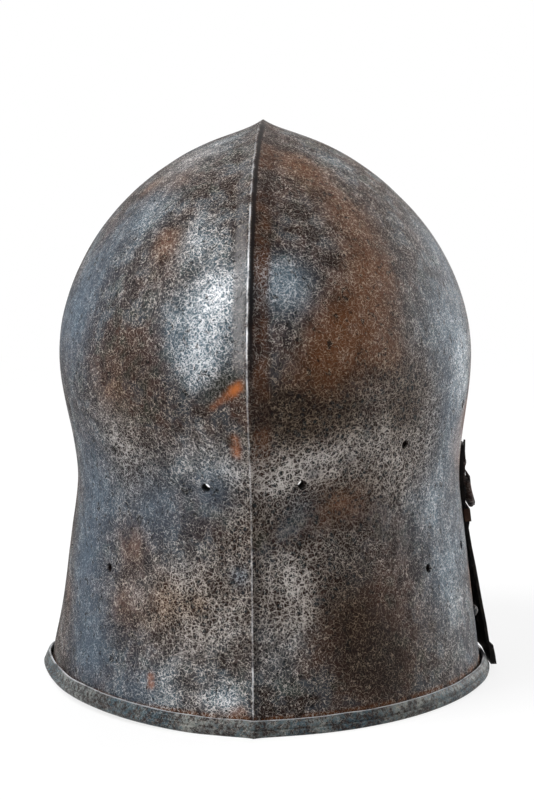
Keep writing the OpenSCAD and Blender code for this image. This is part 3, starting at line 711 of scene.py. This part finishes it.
def paintSkull():
    scatter()
    points = pointsOf(skullSheet)
    for kind in patches:
        setAttribute(skullSheet, kind, spread(points, kind))
    y, z = points[:, 1], points[:, 2]
    rim, lip = markRoll(points)
    wall = (1 - rim) * (z > marks["wallFrom"])
    setAttribute(skullSheet, "rim", rim)
    setAttribute(skullSheet, "lip", lip)
    setAttribute(skullSheet, "seam", smooth((marks["seamTop"] - z) / marks["seamFade"]) * (1 - rim))
    # The crest's painted highlight: a glint along it, strongest at two heights
    glint = marks["glint"]
    for height, strength in marks["glints"]:
        glint = glint + strength * np.exp(-((z - height) / marks["glintSpread"]) ** 2)
    setAttribute(skullSheet, "crest", wall * glint)
    setAttribute(skullSheet, "nape", wall * smooth((y - marks["napeFrom"]) / marks["napeFade"]))
    setAttribute(skullSheet, "inside", markInside(points) * wall)


paintSkull()

iron = {
    "brown": (0.050, 0.025, 0.018), "umber": (0.014, 0.006, 0.0042), "black": (0.003, 0.003, 0.003),
    "grey": (0.036, 0.042, 0.050), "blue": (0.072, 0.106, 0.146), "teal": (0.006, 0.016, 0.021),
    "rust": (0.100, 0.036, 0.012), "orange": (0.34, 0.105, 0.028), "olive": (0.026, 0.028, 0.020),
    "steel": (0.105, 0.165, 0.200), "fleck": (0.44, 0.39, 0.345), "bright": (0.80, 0.80, 0.82),
    "tan": (0.36, 0.26, 0.17), "frost": (0.32, 0.40, 0.48), "strip": (0.190, 0.190, 0.195),
    "dentShadeOlive": (0.015, 0.015, 0.009), "darkAndShadeBrown": (0.007, 0.0032, 0.0024),
    "rim": (0.120, 0.132, 0.132), "rimPale": (0.25, 0.26, 0.235), "rimSea": (0.026, 0.062, 0.084),
    # Noises: scale, detail and roughness
    "clouds": (30, 4, 0.62), "drift": (105, 3, 0.62), "hue": (52, 3, 0.6), "grain": (1300, 2, 0.7),
    "mottle": (460, 4, 0.75), "stains": (70, 2, 0.6), "pits": (620, 2, 0.6), "hollows": (300, 3, 0.6),
    # The pale lines: scale, least width, and what worn places and a noise add to it
    "hair": (500, 0.021, 0.022, 0.008), "fuzz": (800, 0.022, 0.026, 0.010), "wide": (290, 0.04, 0.09),
    "warps": ((170, 0.0045), (900, 0.0011)),
    # The scratch: its direction across and up, where it lies along that, and how uneven its edge is
    "streak": (0.640, 0.768, 0.1364), "frayed": 0.003, "frayScale": 500,
    "roughness": 0.64, "bump": 0.5, "bumpDepth": 0.0003, "specular": 0.06,
}

# Bands along the keel: the place of each across the helmet, and how far it reaches
keel = {
    "crest": (0.0004, 0.0006), "shade": (-0.0014, 0.0016), "stripe": (-0.0055, 0.0065),
    "calm": (0.0044, 0.0042), "wobble": 0.0012, "wobbleScale": 120,
}


# A bright line on the crest, worn metal with a painted highlight on its lit side, a painted shade line beside
# it, then a rusty stripe; a calm strip on the other side
def keelBands(paint, place, mask):
    up = paint.node("SeparateXYZ", {}, {0: place}, 2)
    wobble = (paint.noise(place, keel["wobbleScale"], 2) - 0.5) * keel["wobble"]
    across = paint.node("SeparateXYZ", {}, {0: place}) + wobble
    shares = {
        "crest": mask["crest"],
        # The shade band is painted shade on the keel's unlit flank
        "shade": mask["nape"] * ((1 - paint.ramp(up, 0.06, 0.10)) * 0.4 + paint.ramp(up, 0.150, 0.200)),
        "stripe": mask["nape"] * paint.ramp(up, 0.110, 0.150),
        "calm": mask["nape"] * (paint.ramp(up, 0.170, 0.190) * (1 - paint.ramp(up, 0.225, 0.265) * 0.8)),
    }
    bands = {}
    for name, share in shares.items():
        centre, reach = keel[name]
        bands[name] = paint.ramp(paint.distance(across, centre), reach, reach * 0.3) * share
    return bands


# Thin wandering lines where a noise crosses its middle
def wander(paint, place, kind, worn, shown):
    scale, least, byWear, byNoise = iron[kind]
    width = worn * byWear + shown * byNoise + least
    return paint.ramp(paint.distance(paint.noise(place, scale, 1.5, 0.5), 0.5), width, width * 0.45)


def largest(paint, *values):
    result = values[0]
    for value in values[1:]:
        result = paint.node("Math", {"operation": "MAXIMUM"}, {0: result, 1: value})
    return result


# Lays the iron's colours over one another, each by its own amount
def coats(paint, colour, layers):
    for amount, name in layers:
        colour = paint.blend(amount, colour, iron[name])
    return colour


def patinatedIron(name, masked, shine=1.0):
    paint = Paint(bpy.data.materials.new(name))
    place = paint.place()
    mask = {kind: paint.attribute(kind) if masked else 0.0
            for kind in (*patches, "seam", "crest", "nape", "rim", "lip", "inside")}
    mask.update(keelBands(paint, place, mask))
    noises = (paint.noise(place, *iron[kind]) for kind in ("clouds", "drift", "hue", "grain", "mottle"))
    clouds, drift, hue, grain, mottle = noises
    far = place
    for scale, reach in iron["warps"]:
        far = paint.warped(far, scale, reach)
    # How much metal shows, with painted highlights in the worn patches: the patches, then what two noises add
    # and take
    level = mask["wear"] * 0.95 + drift * 0.5 + clouds * 0.6 - mask["dark"] * 0.6 - mask["calm"] * 0.2 - 0.42
    # worn: worn metal, and the painted highlights in the worn patches
    worn = paint.ramp(level, 0.0, 1.15)
    shown = paint.ramp(drift, 0.40, 0.60)
    still = paint.ramp(mask["still"] + drift * 0.6, 0.40, 0.95)
    coarse = paint.ramp(mask["coarse"] + clouds * 0.5, 0.30, 0.80)
    smoothPlaces = mask["rim"] * 0.5 + mask["calm"] * 0.4 + mask["stripe"] * 0.35
    rough = (1 - smoothPlaces) * (1 - mask["shade"]) * (1 - still * 0.5)
    # The pale network, and the pits and hollows in it
    hair = wander(paint, place, "hair", worn, shown)
    fuzz = wander(paint, far, "fuzz", worn, shown)
    cellScale, least, byWear = iron["wide"]
    wide = paint.ramp(paint.cells(far, cellScale), worn * byWear + least, worn * 0.03)
    net = largest(paint, hair, fuzz * (worn * 0.6 + 0.25), wide * coarse) * rough
    subdued = mask["dark"] * 0.25 + mask["blue"] * 0.25 + mask["halo"] * 0.40
    strength = worn * 0.25 + shown * 0.10 + 0.62 - subdued
    pits = paint.ramp(paint.noise(place, *iron["pits"]), 0.42, 0.34) * rough
    hollows = paint.ramp(paint.noise(far, *iron["hollows"]), 0.43, 0.34) * rough
    rings = paint.ramp(paint.cells(far, cellScale, "F1"), 0.36, 0.24) * coarse
    # From the bottom up, with how much of each colour lies on the ones below
    colour = coats(paint, iron["brown"], (
        (paint.ramp(hue, 0.42, 0.60), "grey"),
        (paint.ramp(paint.noise(place, *iron["stains"]), 0.52, 0.68), "olive"),
        (paint.ramp(drift + mask["dark"] * 0.5, 0.60, 0.40), "umber"),
        (paint.ramp(mask["rust"] + drift * 0.8 + hue * 0.4, 0.70, 1.40), "rust"),
        # Blued patina, and painted sheen on the sides
        (mask["blue"] * 0.8, "blue"),
        (worn * (1 - coarse) * 0.85, "steel"),
        (coarse * (0.8 - still * 0.7), "umber"),
        (mask["calm"] * 0.7, "strip"),
        # Darker patina, partly painted shade
        (mask["dark"] * 0.92, "darkAndShadeBrown"),
        # Painted shade around the scratch's dent
        (mask["halo"] * 0.85, "dentShadeOlive"),
        (mask["rim"] * 0.9, "rim"),
        (mask["rim"] * paint.ramp(drift + mottle * 0.6, 0.74, 0.96) * 0.65, "rimPale"),
        (mask["rim"] * paint.ramp(clouds + mottle * 0.8, 0.84, 1.04) * 0.8, "rimSea"),
        (mask["rim"] * paint.ramp(mottle + drift * 0.3, 0.74, 0.56) * 0.88, "umber"),
        (mask["stripe"] * 0.85, "umber"),
        (mask["stripe"] * paint.ramp(hue, 0.40, 0.64) * 0.5, "rust"),
        (rings * 0.6, "teal"),
        (largest(paint, pits * 0.35, hollows * 0.9), "black"),
        # Painted shade: the dark line on the keel's unlit flank
        (mask["shade"] * 0.8, "black"),
        (mask["seam"] * 0.9, "umber"),
        (mask["seam"] * paint.ramp(drift, 0.40, 0.54), "rust"),
    ))
    line = coats(paint, iron["fleck"], (
        (paint.ramp(mask["rust"] + hue * 0.5, 0.30, 0.90) * 0.8, "tan"),
        (mask["dark"] * 0.8, "tan"),
        (mask["blue"] * 0.8, "frost"),
        (worn * (1 - coarse * 0.6), "bright"),
    ))
    colour = paint.blend(net * strength * shine, colour, line)
    across, upward, along = iron["streak"]
    slant = paint.node("VectorMath", {"operation": "DOT_PRODUCT"},
                       {0: place, 1: (across, 0, upward)}, "Value")
    slant = slant + (paint.noise(place, iron["frayScale"], 2) - 0.5) * iron["frayed"]
    streak = paint.ramp(paint.distance(slant, along), 0.0050, 0.0004)
    fresh = paint.ramp(grain + drift, 0.75, 1.05)
    # Bare metal: worn spots with painted highlights among them, the crest with its painted highlight, and the
    # lip of the roll
    polishAndHighlight = paint.ramp(level + grain * 0.6, 1.10, 1.60) * (1 - pits) * 0.25
    crestLine = mask["crest"] * paint.ramp(drift + grain * 0.3, 0.45, 0.85)
    edge = largest(paint, crestLine, mask["lip"] * paint.ramp(drift + grain * 0.4, 0.45, 0.80) * 0.7)
    silver = paint.node("Math", {"operation": "MAXIMUM", "use_clamp": True}, {0: polishAndHighlight, 1: edge})
    colour = coats(paint, colour, (
        (mask["scratch"] * streak * (fresh * 0.5 + 0.5), "orange"),
        (mask["drip"] * (fresh * 0.6 + 0.3), "orange"),
        (silver, "bright"),
    ))
    colour = paint.blend(mask["inside"] * 0.9, colour, paint.blend(shown, iron["black"], iron["umber"]))
    metal = largest(paint, silver * 0.6, net * worn * 0.35)
    polished = mask["rim"] * 0.18 + mask["blue"] * 0.08 + mask["calm"] * 0.10
    roughness = iron["roughness"] - metal * 0.22 + grain * 0.10 - polished
    height = net * 0.6 + grain * 0.2 - pits * 0.5 - hollows * 0.6 + drift * 0.5
    bump = paint.bumps(height, iron)
    return paint.finish(Base_Color=colour, Roughness=roughness, Metallic=metal, Normal=bump,
                        Specular_IOR_Level=iron["specular"])


def smoothShading(piece, angle=None):
    for polygon in piece.data.polygons:
        polygon.use_smooth = True
    if angle is not None:
        piece.data.set_sharp_from_angle(angle=math.radians(angle))


def dress(piece, material):
    piece.data.materials.clear()
    piece.data.materials.append(material)


plainIron = patinatedIron("darkIron", False, 0.35)
dress(skullSheet, patinatedIron("patinatedIron", True))
smoothShading(skullSheet, 50)
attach(skullSheet, "helmet")
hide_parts("skull")
dress(rimWire, plainIron)
smoothShading(rimWire)
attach(rimWire, "helmet")
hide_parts("rim_wire")
print("skull finished")

leather = {
    "strap": {"base": (0.005, 0.004, 0.004), "worn": (0.018, 0.013, 0.010)},
    "keeper": {"base": (0.035, 0.017, 0.011), "worn": (0.085, 0.045, 0.028)},
    "pores": 2600, "folds": 420, "foldWarp": (300, 0.002), "rubbed": (170, 3, 0.6), "grain": 900,
    "roughness": 0.65, "bump": 0.6, "bumpDepth": 0.0003, "specular": 0.1,
}


def oldLeather(name, colours):
    paint = Paint(bpy.data.materials.new(name))
    place = paint.place()
    pores = paint.cells(place, leather["pores"], "F1")
    creases = paint.ramp(paint.cells(paint.warped(place, *leather["foldWarp"]), leather["folds"]), 0.10, 0.0)
    rub = paint.ramp(paint.noise(place, *leather["rubbed"]), 0.45, 0.72)
    colour = paint.blend(rub, colours["base"], colours["worn"])
    height = pores * 0.4 - creases * 0.5 + paint.noise(place, leather["grain"], 2) * 0.4
    bump = paint.bumps(height, leather)
    return paint.finish(Base_Color=colour, Roughness=leather["roughness"] - rub * 0.15, Normal=bump,
                        Specular_IOR_Level=leather["specular"])


# How far each piece's edges are rounded over, and the angles in degrees that count as flat and as sharp
easing = {
    "strap": 0.00035, "strap_keeper": 0.0003, "buckle_plate": 0.00015, "buckle_tongue": 0.0002,
    "flat": 1.5, "sharp": 40, "shading": 35,
}


# A copy of a solid with its sharp edges rounded over
def eased(nodeName, pieceName):
    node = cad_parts[nodeName]
    mesh = node.data.copy()
    made = bpy.data.objects.new(pieceName, mesh)
    scene.collection.objects.link(made)
    tidy = bmesh.new()
    tidy.from_mesh(mesh)
    bmesh.ops.remove_doubles(tidy, verts=tidy.verts, dist=weld)
    flat = math.radians(easing["flat"])
    bmesh.ops.dissolve_limit(tidy, angle_limit=flat, verts=tidy.verts, edges=tidy.edges)
    tidy.to_mesh(mesh)
    tidy.free()
    bevel = made.modifiers.new("edges", "BEVEL")
    bevel.width = easing[nodeName]
    bevel.segments = 2
    bevel.limit_method = "ANGLE"
    bevel.angle_limit = math.radians(easing["sharp"])
    applyModifiers(made)
    smoothShading(made, easing["shading"])
    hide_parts(nodeName)
    return made


# The hanging end has turned: by height, how far its near edge stands off the skull and its far edge goes in
hang = {
    "near": -0.010, "far": -0.026,
    "heights": (0.002, 0.005, 0.0084, 0.013, 0.017, 0.0252, 0.0353, 0.0455, 0.0557, 0.0658, 0.079),
    "out": (0.0010, 0.0014, 0.0024, 0.0036, 0.0040, 0.0034, 0.0026, 0.0020, 0.0014, 0.0006, 0.0),
    "in": (0.0, 0.0, 0.0, 0.0034, 0.0037, 0.0034, 0.0026, 0.0019, 0.0011, 0.0004, 0.0),
}


def hangStrap(piece):
    for vertex in piece.data.vertices:
        x, y, z = vertex.co
        fromFar = (y - hang["far"]) / (hang["near"] - hang["far"])
        out = np.interp(z, hang["heights"], hang["out"])
        inward = np.interp(z, hang["heights"], hang["in"])
        vertex.co.x = x - mix(-inward, out, fromFar)


strapPiece = eased("strap", "strapLeather")
hangStrap(strapPiece)
dress(strapPiece, oldLeather("blackLeather", leather["strap"]))
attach(strapPiece, "helmet")
keeperPiece = eased("strap_keeper", "keeperLeather")
dress(keeperPiece, oldLeather("brownLeather", leather["keeper"]))
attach(keeperPiece, "helmet")
platePiece = eased("buckle_plate", "buckleLeaf")
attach(platePiece, "helmet")
tonguePiece = eased("buckle_tongue", "buckleTongue")
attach(tonguePiece, "tongue")
for piece in (platePiece, tonguePiece):
    dress(piece, plainIron)
for name in ("buckle_frame", "plate_rivets", "plate_roves", "skirt_rove"):
    dress(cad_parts[name], plainIron)
dress(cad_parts["skirt_rivet"], patinatedIron("wornRivet", False))
print("strap and buckle finished")

studio = {
    "ambient": 0.10, "floorSize": 8.0, "pale": ((0.90, 0.90, 0.90), (0.93, 0.93, 0.93)),
    "glowNear": 0.78, "glowFar": 0.22, "glowRamp": (0.25, 1.2),
    "aim": (0, 0, 0.14), "cool": (0.74, 0.87, 1.0), "neutral": (1, 1, 1),
    # Name, place, size, power and tint
    "lamps": (
        ("key", (1.0, 0.65, 1.8), 1.0, 40.5, "neutral"),
        ("nearKey", (0.9, 1.5, 1.2), 0.8, 11, "neutral"),
        ("rightBack", (-1.3, -1.5, 0.6), 1.0, 28, "neutral"),
        ("rightLow", (-1.9, -1.0, 0.4), 0.8, 28, "neutral"),
        ("leftBack", (1.3, -1.5, 0.6), 1.0, 4, "cool"),
        ("highRight", (-1.1, 0.8, 1.7), 0.9, 2.5, "neutral"),
        ("front", (0.0, -1.5, 1.6), 1.0, 8, "neutral"),
    ),
}


def makeWorld():
    world = bpy.data.worlds.new("studio")
    scene.world = world
    paint = Paint(world)
    seen = seenDirectly(paint)
    background = paint.tree.nodes["Background"]
    background.inputs["Color"].default_value = (1, 1, 1, 1)
    paint.feed(background.inputs["Strength"], seen * (1 - studio["ambient"]) + studio["ambient"])


def makeFloor():
    mesh = bpy.data.meshes.new("floor")
    half = studio["floorSize"] / 2
    corners = [(-half, -half, 0), (half, -half, 0), (half, half, 0), (-half, half, 0)]
    mesh.from_pydata(corners, [], [(0, 1, 2, 3)])
    floor = bpy.data.objects.new("floor", mesh)
    scene.collection.objects.link(floor)
    dress(floor, paleFloor())


def makeLamps():
    for name, place, size, power, tint in studio["lamps"]:
        data = bpy.data.lights.new(name, "AREA")
        data.energy = power
        data.size = size
        data.color = studio[tint]
        lamp = bpy.data.objects.new(name, data)
        scene.collection.objects.link(lamp)
        lamp.location = place
        lamp.rotation_mode = "QUATERNION"
        lamp.rotation_quaternion = (Vector(place) - Vector(studio["aim"])).to_track_quat("Z", "Y")


def seenDirectly(paint):
    rays = ("Is Camera Ray", "Is Glossy Ray", "Is Transmission Ray")
    return largest(paint, *(paint.node("LightPath", output=name) for name in rays))


# White towards its edges, so that only the helmet's own shadow shows on it
def paleFloor():
    paint = Paint(bpy.data.materials.new("paleFloor"))
    place = paint.place()
    colour = paint.blend(paint.noise(place, 3, 2), *studio["pale"])
    paint.finish(Base_Color=colour, Roughness=0.9)
    distance = paint.node("VectorMath", {"operation": "LENGTH"}, {0: place}, "Value")
    shine = paint.node("Emission", {}, {"Color": (1, 1, 1), "Strength": 1.0})
    glow = paint.ramp(distance, *studio["glowRamp"]) * studio["glowFar"] + studio["glowNear"]
    share = seenDirectly(paint) * glow
    mixed = paint.node("MixShader", {}, {0: share})
    shader = mixed.socket.node
    paint.tree.links.new(paint.tree.nodes["Principled BSDF"].outputs[0], shader.inputs[1])
    paint.tree.links.new(shine.socket, shader.inputs[2])
    paint.tree.links.new(mixed.socket, paint.tree.nodes["Material Output"].inputs["Surface"])
    return paint.owner


makeWorld()
makeFloor()
makeLamps()
print("studio lit")
